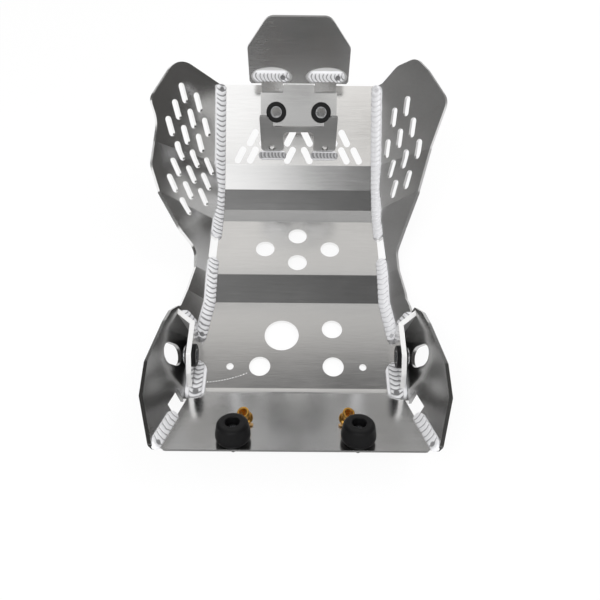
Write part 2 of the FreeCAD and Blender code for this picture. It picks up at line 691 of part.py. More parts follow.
def bead_section(lean):
    """A convex weld bead in an inside corner, with straight roots that reach into both sheets."""
    opening = math.radians(180 - lean)
    middle = opening / 2
    toe = Vector(WELD_FOOT_LEG, -WELD_ROOT, 0)
    far_toe = Vector(math.cos(opening), math.sin(opening), 0) * WELD_WALL_LEG
    far_toe += Vector(-math.sin(opening), math.cos(opening), 0) * WELD_ROOT
    bisector = Vector(math.cos(middle), math.sin(middle), 0)
    heel = bisector * (-WELD_ROOT / math.sin(middle))
    arc = Part.Arc(toe, bisector * WELD_CROWN, far_toe).toShape()
    return Part.Face(Part.Wire([arc, Part.makeLine(far_toe, heel), Part.makeLine(heel, toe)]))


def seam_bead(side, points, lean, carriers):
    """A convex bead with round ends along the inside corner of a row of straight seams."""
    middle = math.radians(180 - lean) / 2
    seam = [Vector(side * x, y, z) for x, y, z in points]
    runs = [(b - a).normalize() for a, b in zip(seam, seam[1:])]
    frames = []
    for along in runs:
        outward = Vector(side * along.y, -side * along.x, 0).normalize()
        upward = outward.cross(along)
        frames.append((outward, upward if upward.z > 0 else -upward))
    face = Frame(seam[0], -frames[0][0], frames[0][1]).place(bead_section(lean))
    solids = []
    for i, along in enumerate(runs):
        solid = face.extrude(along * ((seam[i + 1] - seam[i]).Length + 2 * WELD_WALL_LEG))
        ahead = (along + runs[min(i + 1, len(runs) - 1)]).normalize()
        solid = solid.common(half_space(seam[i + 1], -ahead))
        face = min(solid.Faces, key=lambda f: abs((f.CenterOfMass - seam[i + 1]).dot(ahead)) - f.Area * 1e-6)
        solids.append(solid)
    body = solids[0].fuse(solids[1:]).removeSplitter() if len(solids) > 1 else solids[0]
    reach = (WELD_FOOT_LEG + WELD_WALL_LEG) / 2 * math.sin(middle)
    ends = ((seam[0], runs[0], frames[0]), (seam[-1], -runs[-1], frames[-1]))
    for point, inwards, (outward, upward) in ends:
        opening = upward * math.sin(middle) - outward * math.cos(middle)
        centre = point + inwards * reach
        round_end = cylinder(centre - opening * 4 * reach, opening, 2 * reach, 8 * reach)
        body = body.common(half_space(centre, inwards).fuse(round_end))
    return largest(body.cut(carriers))


def pad_weld(frame, length, width, height):
    """A low weld pad with round ends and sloping flanks, lying on a face."""
    pad = plate(frame, round_ended((length - width) / 2, width / 2), height)
    level = frame.point(0, 0, height).dot(frame.normal)
    top = [edge for edge in pad.Edges if abs(edge.CenterOfMass.dot(frame.normal) - level) < 0.01]
    return pad.makeChamfer(0.55 * height, top)


def grommet(point, axis, thickness, far_lip):
    """A rubber grommet round a sheet of the given thickness; its near lip faces against the axis."""
    r, seat, bore = GROMMET_DIAMETER / 2, GROMMET_SEAT / 2, BUSH_OUTSIDE / 2
    far, near = far_lip / 2, -GROMMET_LIP
    end = thickness + GROMMET_LIP / 2
    profile = [
        (bore, near, 0.6), (r, near, 1.4), (r, 0.0, 0.4), (seat, 0.0, 0.0), (seat, thickness, 0.0),
        (far, thickness, 0.0), (far, end, 0.6), (bore, end, 0.0),
    ]
    return revolved(profile, point, axis)


def flanged_bush(point, axis, thickness):
    """A steel bush through a grommet, with a washer-like flange against the far lip."""
    bore, outside, flange = BUSH_BORE / 2, BUSH_OUTSIDE / 2, BUSH_FLANGE / 2
    near = -GROMMET_LIP
    seat = thickness + GROMMET_LIP / 2
    profile = [
        (bore, near, 0.0), (outside, near, 0.3), (outside, seat, 0.0), (flange, seat, 0.4),
        (flange, seat + BUSH_FLANGE_THICKNESS, 0.4), (bore, seat + BUSH_FLANGE_THICKNESS, 0.0),
    ]
    return revolved(profile, point, axis)


def bumper(point, axis):
    """A round rubber buffer: narrow foot, full belly, rounded shoulder and a well for its screw."""
    foot, belly, shoulder = BUMPER_FOOT / 2, BUMPER_BELLY / 2, BUMPER_SHOULDER / 2
    well, shank = BUMPER_WELL / 2, SCREW_SHANK / 2
    top = BUMPER_HEIGHT
    profile = [
        (shank, 0.0, 0.0), (foot, 0.0, 1.0), (belly, 4.5, 2.5), (belly, BUMPER_BELLY_TOP, 4.0),
        (shoulder, top, BUMPER_SHOULDER_ROUND),
        (well, top, 1.2), (well, top - BUMPER_WELL_DEPTH, 0.0), (shank, top - BUMPER_WELL_DEPTH, 0.0),
    ]
    return revolved(profile, point, axis)


def hexagon(point, axis, across_flats, height):
    corner = across_flats / math.sqrt(3)
    frame = Frame(point, axis.cross(Vector(1, 0, 0)), Vector(1, 0, 0))
    turns = [math.radians(60 * i) for i in range(6)]
    outline = [(corner * math.cos(turn), corner * math.sin(turn), 0.0) for turn in turns]
    reach = height if frame.normal.dot(axis) > 0 else -height
    return plate(frame, outline, reach)


def bumper_screw(point, axis):
    """A socket head screw that clamps a bumper through the rear panel."""
    seat = BUMPER_HEIGHT - BUMPER_WELL_DEPTH
    head, shank = SCREW_HEAD / 2, SCREW_SHANK / 2
    tip = -SHEET - WASHER_THICKNESS - NUT_HEIGHT - 1.5
    profile = [
        (0.0, tip, 0.0), (shank, tip, 0.6), (shank, seat, 0.0), (head, seat, 0.0),
        (head, seat + SCREW_HEAD_HEIGHT, 0.6), (0.0, seat + SCREW_HEAD_HEIGHT, 0.0),
    ]
    socket = point + axis * (seat + SCREW_HEAD_HEIGHT / 2)
    return revolved(profile, point, axis).cut(hexagon(socket, axis, SCREW_SHANK - 1.0, SCREW_HEAD_HEIGHT))


def bumper_washer(point, axis):
    top = point - axis * (SHEET + WASHER_THICKNESS)
    disc = cylinder(top, axis, WASHER_OUTSIDE, WASHER_THICKNESS)
    return disc.cut(cylinder(top, axis, SCREW_SHANK, WASHER_THICKNESS))


def bumper_nut(point, axis):
    low = point - axis * (SHEET + WASHER_THICKNESS + NUT_HEIGHT)
    return hexagon(low, axis, NUT_ACROSS, NUT_HEIGHT).cut(cylinder(low, axis, SCREW_SHANK, NUT_HEIGHT))


def insert_stance():
    """How far a leaning insert stands from the bumper's axis, and how high its foot lifts."""
    lean = math.radians(INSERT_LEAN)
    flange, collar = INSERT_FLANGE / 2 - INSERT_EDGE, INSERT_COLLAR / 2 - INSERT_EDGE
    lift = flange * math.sin(lean) + INSERT_EDGE * (1 - math.cos(lean))
    flank = Vector(BUMPER_SHOULDER - BUMPER_BELLY, 2 * (BUMPER_HEIGHT - BUMPER_BELLY_TOP), 0).normalize()
    away = Vector(flank.y, -flank.x, 0)
    reach = INSERT_HEIGHT - INSERT_EDGE
    height = lift + reach * math.cos(lean) - collar * math.sin(lean)
    side = BUMPER_BELLY / 2 + (INSERT_EDGE - (height - BUMPER_BELLY_TOP) * away.y) / away.x
    return side + reach * math.sin(lean) + collar * math.cos(lean), lift


def brass_insert(side):
    """A flanged brass insert that stands on its flange's edge and leans on the bumper."""
    rear = facing(rear_frame(), Vector(0, 0, 1))
    direction = 1 if rear.along.y < 0 else -1
    bearing = math.radians(INSERT_BEARING)
    towards = rear.along * direction * math.cos(bearing) + Vector(side * math.sin(bearing), 0, 0)
    distance, lift = insert_stance()
    bumper_foot = rear_frame().point(BUMPER_PLACE[1], side * BUMPER_PLACE[0])
    point = bumper_foot - towards * distance + rear.normal * lift
    lean = math.radians(INSERT_LEAN)
    axis = rear.normal * math.cos(lean) + towards * math.sin(lean)
    flange, neck, collar, bore = (d / 2 for d in (INSERT_FLANGE, INSERT_NECK, INSERT_COLLAR, INSERT_BORE))
    h, edge = INSERT_HEIGHT, INSERT_EDGE
    profile = [
        (bore, 0.0, 0.0), (flange, 0.0, edge), (flange, 2.6, edge), (neck, 4.2, 1.0), (neck, h - 4.6, 0.6),
        (collar, h - 3.6, 0.4), (collar, h, edge), (bore, h, 0.5),
    ]
    return revolved(profile, point, axis)


def build():
    """Makes every piece and returns them by name."""
    base = base_plate()
    riser_plate = riser()
    mount_plate = front_mount_plate()
    guard = front_guard()
    riser_plate = riser_plate.cut([base, mount_plate])
    pieces = {"base_plate": base}
    rear = rear_frame()
    up = rear.normal if rear.normal.z > 0 else -rear.normal
    front = front_frame()
    for side, name, wall in ((-1, "left", LEFT_WALL), (1, "right", RIGHT_WALL)):
        wall_sheet = side_wall(side, wall)
        wing = rear_wing(side)
        ear_plate = ear(side).cut([base, wing, wall_sheet])
        wing = wing.cut(wall_sheet)
        pieces[name + "_front_wall"] = wall_sheet
        pieces[name + "_rear_wing"] = wing
        pieces[name + "_ear"] = largest(ear_plate)
        sheets = [base, wall_sheet, wing, ear_plate]
        pieces.update(side_welds(side, name, sheets))
        y, z = EAR_BOLT
        seat = Vector(side * (EAR_HALF_WIDTH - EAR_SHEET), y, z)
        pieces[name + "_ear_grommet"] = grommet(seat, Vector(side, 0, 0), EAR_SHEET, GROMMET_SEAT + 2.5)
        pieces[name + "_ear_bush"] = flanged_bush(seat, Vector(side, 0, 0), EAR_SHEET)
        mount = mount_frame()
        outer = mount.normal if mount.normal.z > 0 else -mount.normal
        hole = mount.point(side * MOUNT_BOLT[0], MOUNT_BOLT[1])
        pieces[name + "_front_grommet"] = grommet(hole, -outer, SHEET, GROMMET_SEAT + 1.0).cut(riser_plate)
        pieces[name + "_front_bush"] = flanged_bush(hole, -outer, SHEET).cut(riser_plate)
        spot = rear.point(BUMPER_PLACE[1], side * BUMPER_PLACE[0])
        pieces[name + "_bumper"] = bumper(spot, up)
        pieces[name + "_brass_insert"] = brass_insert(side)
        guard_face = tab_frame().shifted(height=-SHEET if tab_frame().normal.z > 0 else SHEET)
        centre = guard_face.shifted(side * (TAB_INNER + MOUNT_HALF_WIDTH) / 2, TAB_HEIGHT + GUARD_WELD_LIFT)
        face = facing(centre, Vector(0, -1, 0))
        pad = pad_weld(face, GUARD_WELD_LENGTH, GUARD_WELD_WIDTH, GUARD_WELD_HEIGHT)
        pieces[name + "_guard_weld"] = pad.cut([mount_plate, guard])
        centre = front.shifted(side * (RISER_LEG_INNER + RISER_HALF_WIDTH) / 2, RISER_FOOT - RISER_WELD_DROP)
        face = facing(centre, Vector(0, 0, 1))
        foot = pad_weld(face, RISER_WELD_LENGTH, RISER_WELD_WIDTH, RISER_WELD_HEIGHT)
        pieces[name + "_riser_weld"] = largest(foot.cut([base, riser_plate]))
    pieces["front_riser"] = riser_plate
    pieces["front_mount_plate"] = mount_plate
    pieces["front_guard"] = guard
    spots = [rear.point(BUMPER_PLACE[1], side * BUMPER_PLACE[0]) for side in (-1, 1)]
    pieces["bumper_screws"] = Part.makeCompound([bumper_screw(spot, up) for spot in spots])
    pieces["bumper_washers"] = Part.makeCompound([bumper_washer(spot, up) for spot in spots])
    pieces["bumper_nuts"] = Part.makeCompound([bumper_nut(spot, up) for spot in spots])
    return pieces


def facing(frame, direction):
    """The same plane with its normal on the side of a direction."""
    if frame.normal.dot(direction) > 0:
        return frame
    return Frame(frame.corner, -frame.along, frame.across)


def side_welds(side, name, sheets):
    """The beads that join one side's wall, wing and ear to the base plate."""
    rear_gap, front_gap = DRAIN_GAP
    level = MIDDLE_REAR[1]
    folds = [(HALF_WIDTH, y, z) for y, z in (MIDDLE_FRONT, CURVE_A, CURVE_B, FRONT_FOLD)]
    upper = [(HALF_WIDTH, front_gap, level)] + folds + [(FRONT_HALF_WIDTH,) + FRONT_TOP]
    flare = EAR_HALF_WIDTH - EAR_SHEET
    slant = (flare - HALF_WIDTH) / (FLOOR_FRONT[0] - FLARE_END)
    start = HALF_WIDTH + slant * (FLOOR_FRONT[0] - LOWER_WELD_END)
    lower = [(start, LOWER_WELD_END, 0.0), (HALF_WIDTH,) + FLOOR_FRONT, (HALF_WIDTH,) + MIDDLE_REAR]
    lower += [(HALF_WIDTH, rear_gap, level)]
    run = [rear_edge_point(REAR_LENGTH - 1.2), rear_edge_point(WING_GAP[1] + 1.0)]
    inner = side * flare
    first, last = EAR_WELD_RUN
    floor = Frame(Vector(inner, (first + last) / 2, -WELD_ROOT), Vector(0, 1, 0), Vector(1, 0, 0))
    height = EAR_WELD_HEIGHT + WELD_ROOT
    pad = pad_weld(facing(floor, Vector(0, 0, 1)), last - first, 2 * EAR_WELD_LEG, height)
    flange = flange_frame(side)
    direction = 1 if flange.along.y > 0 else -1
    middle = flange.shifted(direction * FLANGE_WELD_PLACE[0], FLANGE_WELD_PLACE[1], -WELD_ROOT)
    rise = math.radians(FLANGE_WELD_RISE)
    along = middle.along * direction * math.cos(rise) + Vector(0, 0, 1) * math.sin(rise)
    slanted = facing(Frame(middle.corner, along, middle.normal.cross(along)), middle.normal)
    height = FLANGE_WELD_HEIGHT + WELD_ROOT
    fillet = pad_weld(slanted, FLANGE_WELD_LENGTH, 2 * FLANGE_WELD_LEG, height)
    return {
        name + "_upper_weld": seam_bead(side, upper, WALL_LEAN, sheets),
        name + "_lower_weld": seam_bead(side, lower, WALL_LEAN, sheets),
        name + "_wing_weld": seam_bead(side, run, WING_LEAN, sheets),
        name + "_ear_weld": largest(pad.cut(sheets).common(above_base())),
        name + "_flange_weld": largest(fillet.cut(sheets).common(above_base())),
    }


def rear_edge_point(distance):
    """A point on the rear panel's upper edge, this far up the slope from the rear fold."""
    point = rear_frame().point(distance, 0)
    return (EAR_HALF_WIDTH + point.z / math.tan(math.radians(WING_LEAN)), point.y, point.z)


def above_base():
    """The space above the base plate's upper face, carried on past its two ends."""
    line = [REAR_END] + FOLDS
    closed = line + [(line[-1][0], FAR), (line[0][0], FAR)]
    return side_section([(y, z, 0.0) for y, z in closed], FAR / 2)


def main():
    pieces = build()
    box = Part.makeCompound(list(pieces.values())).BoundBox
    shift = Vector(-(box.XMin + box.XMax) / 2, -(box.YMin + box.YMax) / 2, -box.ZMin)
    os.makedirs("parts", exist_ok=True)
    for name, shape in pieces.items():
        shape.translate(shift)
        shape.exportStep("parts/" + name + ".step")


if __name__ == "__main__":
    main()
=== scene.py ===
import math
from typing import NamedTuple

import bpy
from bpy.props import FloatProperty, FloatVectorProperty, PointerProperty
from bpy.types import Operator, Panel, PropertyGroup
from mathutils import Matrix, Vector, noise


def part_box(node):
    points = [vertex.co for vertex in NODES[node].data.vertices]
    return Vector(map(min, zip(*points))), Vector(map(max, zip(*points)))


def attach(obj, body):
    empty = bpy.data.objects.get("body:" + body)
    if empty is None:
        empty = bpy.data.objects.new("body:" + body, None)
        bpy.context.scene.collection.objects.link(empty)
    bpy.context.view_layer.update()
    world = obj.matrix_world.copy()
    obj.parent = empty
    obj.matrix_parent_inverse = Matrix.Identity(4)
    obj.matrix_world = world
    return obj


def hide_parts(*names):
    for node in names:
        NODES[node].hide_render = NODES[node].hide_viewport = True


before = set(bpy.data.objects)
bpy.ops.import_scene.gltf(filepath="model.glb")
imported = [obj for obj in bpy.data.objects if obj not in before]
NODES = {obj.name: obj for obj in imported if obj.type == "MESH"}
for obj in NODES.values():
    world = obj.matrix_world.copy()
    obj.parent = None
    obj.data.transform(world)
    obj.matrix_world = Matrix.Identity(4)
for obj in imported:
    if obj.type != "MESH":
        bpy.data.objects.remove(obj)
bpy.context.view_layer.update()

bl_info = {
    "name": "Skid plate dressing",
    "version": (1, 0, 0),
    "blender": (4, 5, 0),
    "location": "3D View > Sidebar > Skid plate",
    "description": "Gives a welded motorcycle skid plate its finishes, weld ripples and studio",
    "category": "Object",
}

# Strips of the base plate from the rear fold forwards: length and rise in degrees
STRIPS = (
    (0.1075, 0.0), (0.0344, 12.5), (0.081, 0.0),
    (0.0176, 9.0), (0.0268, 21.0), (0.0314, 31.0), (0.095, 45.0),
)

# Rise of the rear panel, and lean of the side walls and of the wings, in degrees
REAR_RISE, WALL_LEAN, WING_LEAN = 28.0, 48.0, 67.5

# The base plate's sheet, and how far its rear end lies behind the rear fold
SHEET, REAR_REACH = 0.004, 0.07328

# Half widths of the base plate at its floor, at its front edge and at the ears, and the ears' sheet
HALF_WIDTH, FRONT_HALF_WIDTH, EAR_HALF_WIDTH, EAR_SHEET = 0.098, 0.0955, 0.109, 0.005

# Where the floor stops flaring out to the ears, and where the lower welds start
FLARE_END, LOWER_WELD_END = 0.061, 0.059

# The open gap between the lower and upper welds, and the run of the wing welds behind the rear fold
DRAIN_GAP, WING_RUN = (0.162, 0.195), (0.0818, 0.0376)

# Sheet finishes: material, nodes, and how many times as dull and as light as the settings say; the lower
# lightness of the guard, riser, right wall and wings is painted shade
SHEET_FINISHES = (
    ("brushed_sheet", ("left_front_wall", "front_mount_plate"), 1.0, 1.0),
    ("base_sheet", ("base_plate",), 1.0, 1.0),
    ("guard_sheet", ("front_guard",), 1.5, 0.74),
    ("riser_sheet", ("front_riser",), 1.8, 0.68),
    ("right_wall_sheet", ("right_front_wall",), 2.4, 0.82),
    ("ear_sheet", ("left_ear", "right_ear"), 1.0, 1.0),
    ("left_wing_sheet", ("left_rear_wing",), 1.4, 0.46),
    ("right_wing_sheet", ("right_rear_wing",), 1.4, 0.62),
)
RUBBER_NODES = tuple(name for name in NODES if name.endswith(("grommet", "bumper")))
STEEL_NODES = tuple(name for name in NODES if name.endswith(("bush", "screws", "washers", "nuts")))
BRASS_NODES = tuple(name for name in NODES if name.endswith("brass_insert"))

# Brushed lines on the sheet, fine and coarse: how often they change along and across
FINE_LINES = (60.0, 1500.0, 1500.0)
COARSE_LINES = (20.0, 330.0, 330.0)
LINE_DEPTH = 0.00004

# Marks on the sheet: how much paler, duller and chalkier they are than the sheet round them
CUT_EDGE = (0.12, 0.25, 0.65)
HALO = (0.0, 0.25, 0.75)
SCUFF = (0.35, 0.35, 0.70)

# The halo of each guard weld: half its width and height, and how far below the weld its middle lies
HALO_REACH, HALO_DROP = (0.0240, 0.0115), 0.0010

# The scuffed arc of dots on the floor: its centre from the rear fold, its radius, the pitch of the
# dots, the angles at its two ends, and half its width where it is full and where it has faded
ARC_CENTRE, ARC_RADIUS, ARC_PITCH = (-0.0976, 0.1166), 0.107, 0.0029
ARC_START, ARC_END = (0.02, 0.05), (0.44, 0.46)
ARC_FADE = (0.0002, 0.0006)

# How light the weld metal is between the ripples, as painted shade in the valleys, how much lighter on
# them, as painted highlight on the crests, and on the matt rim
VALLEY_SHADE_TONE, CREST_HIGHLIGHT_TONE, RIM_TONE = 0.26, 0.80, 1.10

# Grid of the cast weld beads, and how near two points are that become one
VOXEL, MERGE = 0.00045, 0.00001

# One ripple: the shares of its pitch that its long slope and its steep back take
LONG_SLOPE, STEEP_BACK = 0.78, 0.22

# How far the craters at the ends of the beads are sunk, in ripple heights
CRATER_DEPTH = 1.6

# Side beads painted lighter all over, as painted light on their ripples, and by how much
PAINTED_LIGHT_WELDS = {
    "right_upper_weld": 0.40,
    "right_lower_weld": 0.28,
    "left_wing_weld": 0.12,
    "right_wing_weld": 0.12,
}

# Pads of the front bracket: the way they face, half width, ripple height in the setting's own size,
# strength of the painted highlight on the ripples, slant of the ripples, and whether they end in a crater
BRACKET_PADS = {
    "guard_weld": ((0.0, -1.0, 0.0), 0.0062, 1.3, 1.0, 0.45, True),
    "riser_weld": ((0.0, -0.707, 0.707), 0.0043, 1.0, 0.3, 0.2, False),
}

# The room that the metal reflects, from the horizon ahead (0) over the top to the one behind (1):
# place, brightness and warmth, to the left and to the right of the middle
ROOM_LEFT = (
    (0.0, 0.34, 0.0), (0.07, 0.35, 0.0), (0.14, 0.48, 0.02), (0.22, 0.62, 0.04), (0.285, 0.70, 0.04),
    (0.334, 0.61, 0.05), (0.345, 0.30, 0.04), (0.358, 0.17, 0.02), (0.375, 0.18, 0.0), (0.41, 0.15, 0.0),
    (0.445, 0.15, 0.0), (0.484, 0.18, 0.0), (0.53, 0.45, 0.0), (0.565, 1.02, 0.0), (0.64, 1.06, 0.0),
    (0.70, 1.12, 0.0), (0.735, 1.0, 0.01), (0.756, 0.60, 0.0), (0.79, 0.22, 0.0), (0.83, 0.20, 0.0),
    (0.865, 0.50, 0.0), (0.905, 0.50, 0.0), (0.95, 0.15, 0.0), (1.0, 0.12, 0.0),
)
ROOM_RIGHT = (
    (0.0, 0.29, 0.0), (0.07, 0.29, 0.01), (0.14, 0.42, 0.02), (0.22, 0.52, 0.04), (0.285, 0.61, 0.04),
    (0.333, 0.55, 0.04), (0.343, 0.25, 0.03), (0.358, 0.08, 0.0), (0.375, 0.11, 0.0), (0.41, 0.09, 0.0),
    (0.445, 0.08, 0.0), (0.484, 0.11, 0.0), (0.55, 0.14, 0.0), (0.605, 0.16, 0.0), (0.65, 0.45, 0.02),
    (0.69, 1.05, 0.05), (0.711, 0.42, 0.06), (0.735, 0.86, 0.05), (0.756, 0.54, 0.0), (0.79, 0.22, 0.0),
    (0.83, 0.18, 0.0), (0.865, 0.42, 0.0), (0.905, 0.42, 0.0), (0.95, 0.15, 0.0), (1.0, 0.12, 0.0),
)

# How near the middle the two halves of the room meet, and where its dark sides begin and are full
ROOM_MEETING, ROOM_SIDES = 0.13, (0.36, 0.66)

# Colours of the studio: the room's dark sides, its light on matt surfaces, the floor, and plain white
SIDE_GREY = (0.07, 0.068, 0.066, 1.0)
SOFT_GREY = (0.75, 0.75, 0.75, 1.0)
FLOOR_GREY = (0.9, 0.9, 0.9, 1.0)
WHITE = (1.0, 1.0, 1.0, 1.0)

# How much of the floor glows white to the camera and the metal; the rest shows the shadow
FLOOR_GLOW = 0.86

# The floor lies this far under the part, and the cards on it this far over the part's lowest point
FLOOR_DROP, CARD_LIFT = 0.0005, 0.0005

# Cards on the floor behind the part: middle, size and grey
FLOOR_CARDS = {
    "near_flag": ((0.0, -0.445), (0.9, 0.42), 0.11),
    "far_flag": ((0.0, -1.355), (0.9, 1.40), 0.30),
    "edge_flag": ((0.0, -0.2275), (0.9, 0.014), 0.20),
}

# Cards over the part: how far ahead of and above the rear fold, size and grey
RAISED_CARDS = {
    "strip_card": ((0.437, 0.459), (0.5, 0.06), 0.42),
    "middle_flag": ((-0.092, 0.553), (0.11, 0.07), 0.26),
    "upper_flag": ((-0.10, 0.30), (0.32, 0.14), 0.13),
}

# Lamps: place, size and power, all aimed at one point
LAMPS = {
    "key": ((-0.5, -0.9, 1.5), (1.4, 1.0), 14.0),
    "fill": ((1.0, 0.6, 1.3), (1.2, 1.2), 8.0),
}
LAMP_AIM = (0.0, 0.0, 0.05)

# The camera stands this far to the right of the part's middle, and sees from and to these distances
CAMERA_SHIFT, CAMERA_NEAR, CAMERA_FAR = 0.00065, 0.01, 50.0


def fold_origin():
    """The middle of the rear fold on the floor panel's upper face."""
    low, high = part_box("base_plate")
    return Vector(((low[0] + high[0]) / 2, low[1] + REAR_REACH, low[2] + SHEET))


def node_box(node):
    """The middle and the size of a node."""
    low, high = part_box(node)
    return (Vector(low) + Vector(high)) / 2, Vector(high) - Vector(low)


class Shade:
    """A shader socket that can be written in sums, products and powers."""

    def __init__(self, tree, socket):
        self.tree, self.socket = tree, socket

    def __add__(self, other):
        return maths("ADD", self, other)

    def __radd__(self, other):
        return maths("ADD", other, self)

    def __sub__(self, other):
        return maths("SUBTRACT", self, other)

    def __rsub__(self, other):
        return maths("SUBTRACT", other, self)

    def __mul__(self, other):
        return maths("MULTIPLY", self, other)

    def __rmul__(self, other):
        return maths("MULTIPLY", other, self)

    def __truediv__(self, other):
        return maths("DIVIDE", self, other)

    def __pow__(self, other):
        return maths("POWER", self, other)

    def __abs__(self):
        return maths("ABSOLUTE", self)

    def smooth(self, low, high):
        """Rises smoothly from 0 at low to 1 at high."""
        settings = {"interpolation_type": "SMOOTHSTEP"}
        return Recipe(self.tree).node("ShaderNodeMapRange", settings, self, low, high, 0.0, 1.0)


def maths(operation, *values):
    """One Math node, in the tree of the first shade among its values."""
    tree = next(value.tree for value in values if isinstance(value, Shade))
    return Recipe(tree).node("ShaderNodeMath", {"operation": operation}, *values)


class Recipe:
    """The node tree of one material or of the world, filled by short calls."""

    def __init__(self, tree, block=None):
        self.tree, self.block = tree, block

    @classmethod
    def material(cls, name):
        """The recipe of a new material."""
        material = bpy.data.materials.new(name)
        material.use_nodes = True
        material.node_tree.nodes.clear()
        return cls(material.node_tree, material)

    def node(self, kind, settings=None, *values, out=0, **named):
        """Adds a node, sets it up, then gives its inputs in order or by name."""
        node = self.tree.nodes.new(kind)
        for key, value in (settings or {}).items():
            setattr(node, key, value)
        inputs = [socket for socket in node.inputs if socket.enabled]
        for socket, value in zip(inputs, values):
            self.feed(socket, value)
        for key, value in named.items():
            self.feed(node.inputs[key.replace("_", " ")], value)
        return Shade(self.tree, node.outputs[out] if node.outputs else None)

    def feed(self, socket, value):
        """Links an input to a shade, or sets it to a value."""
        if isinstance(value, Shade):
            self.tree.links.new(value.socket, socket)
        else:
            socket.default_value = value

    def parts(self, vector):
        """The three parts of a vector, each alone."""
        node = self.node("ShaderNodeSeparateXYZ", None, vector).socket.node
        return [Shade(self.tree, output) for output in node.outputs]

    def rays(self, *kinds):
        """For each kind of ray, 1 where one of that kind arrives."""
        node = self.node("ShaderNodeLightPath").socket.node
        return [Shade(self.tree, node.outputs["Is " + kind + " Ray"]) for kind in kinds]

    def noise(self, vector, scale, detail=3.0, roughness=0.55):
        """Cloudy noise between 0 and 1."""
        settings = {"Vector": vector, "Scale": scale, "Detail": detail, "Roughness": roughness}
        return self.node("ShaderNodeTexNoise", None, **settings)

    def stretched(self, vector, scales):
        """A vector with each part scaled by its own amount."""
        return self.node("ShaderNodeVectorMath", {"operation": "MULTIPLY"}, vector, scales)

    def toned(self, colour, tone):
        """A colour made lighter or darker."""
        return self.node("ShaderNodeVectorMath", {"operation": "SCALE"}, colour, Scale=tone)

    def blend(self, factor, first, second):
        """Mixes two colours."""
        node = self.tree.nodes.new("ShaderNodeMix")
        node.data_type = "RGBA"
        colours = [socket for socket in node.inputs if socket.type == "RGBA"]
        self.feed(node.inputs[0], factor)
        self.feed(colours[0], first)
        self.feed(colours[1], second)
        result = [socket for socket in node.outputs if socket.type == "RGBA"][0]
        return Shade(self.tree, result)

    def bump(self, height, distance, strength):
        """Fine relief from a height."""
        return self.node("ShaderNodeBump", None, Strength=strength, Distance=distance, Height=height)

    def surface(self, **sockets):
        """Ends a material with its surface and hands it over."""
        shader = self.node("ShaderNodeBsdfPrincipled", None, **sockets)
        self.node("ShaderNodeOutputMaterial", None, shader)
        return self.block


def dress(names, material):
    """Gives CAD nodes a material."""
    for name in names:
        mesh = NODES[name].data
        mesh.materials.clear()
        mesh.materials.append(material)


def cut_edges(recipe, place, grain):
    """The edges of the ears, which are all the faces that don't look to the sides."""
    sideways = recipe.parts(recipe.node("ShaderNodeTexCoord", out="Normal"))[0]
    return [(1.0 - abs(sideways).smooth(0.55, 0.75), CUT_EDGE)]


def weld_halos(recipe, place, grain):
    """The matt halo round each guard weld, on the guard's rear face alone."""
    x, _, z = place
    _, _, cloud = grain
    facing = recipe.parts(recipe.node("ShaderNodeTexCoord", out="Normal"))[1]
    behind = 1.0 - facing.smooth(-0.5, 0.0)
    marks = []
    for node in ("left_guard_weld", "right_guard_weld"):
        middle, _ = node_box(node)
        across = (x - middle.x) / HALO_REACH[0]
        upwards = (z - middle.z + HALO_DROP) / HALO_REACH[1]
        far = (across ** 2.0 + upwards ** 2.0) ** 0.5
        ring = behind * (1.0 - (far + 0.10 * (cloud - 0.5)).smooth(0.90, 1.0))
        marks.append((ring, HALO))
    return marks


def scuffed_arc(recipe, place, grain):
    """The scuffed arc of dots on the floor panel."""
    x, y, _ = place
    fine, coarse, _ = grain
    fold = fold_origin()
    across, ahead = x - (fold.x + ARC_CENTRE[0]), y - (fold.y + ARC_CENTRE[1])
    radius = (across ** 2.0 + ahead ** 2.0) ** 0.5
    turn = maths("ARCTAN2", across, -1.0 * ahead)
    dots = maths("SINE", turn * (2.0 * math.pi * ARC_RADIUS / ARC_PITCH) + 9.0 * coarse)
    span = turn.smooth(*ARC_START) * (1.0 - turn.smooth(*ARC_END))
    off_line = abs(radius - ARC_RADIUS - 0.0012 * (fine - 0.5))
    line = (1.0 - off_line.smooth(*ARC_FADE)) * dots.smooth(-0.3, 0.5) * span
    return [(line, SCUFF)]


SHEET_MARKS = {"base_sheet": scuffed_arc, "guard_sheet": weld_halos, "ear_sheet": cut_edges}


def sheet_material(settings, name, dull, shade):
    """Brushed aluminium sheet with fine and coarse lines, clouds and the marks of its piece, its whole
    colour darkened by its shade as painted shade.
    """
    recipe = Recipe.material(name)
    vector = recipe.node("ShaderNodeTexCoord", out="Object")
    fine = recipe.noise(recipe.stretched(vector, FINE_LINES), 1.0, 2.0)
    coarse = recipe.noise(recipe.stretched(vector, COARSE_LINES), 1.0, 3.0, 0.7)
    cloud = recipe.noise(vector, 14.0)
    # shade scales the piece's whole colour down: painted shade, standing for the darker reflections of that
    # piece
    tone = shade * (1.0 + 0.14 * (fine - 0.5) + 0.13 * (coarse - 0.5) + 0.18 * (cloud - 0.5))
    rough = settings.roughness * dull + 0.08 * (fine - 0.5) + 0.10 * (cloud - 0.5) + 0.05 * (coarse - 0.5)
    metal = 1.0
    if name in SHEET_MARKS:
        marks = SHEET_MARKS[name](recipe, recipe.parts(vector), (fine, coarse, cloud))
        for mask, (paler, duller, chalkier) in marks:
            tone = tone + paler * mask
            rough = rough + duller * mask
            metal = metal - chalkier * mask
    colour = recipe.toned(settings.colour, tone)
    normal = recipe.bump(fine + 0.5 * coarse, LINE_DEPTH, settings.brushing / dull ** 2)
    return recipe.surface(Base_Color=colour, Metallic=metal, Roughness=rough, Normal=normal)


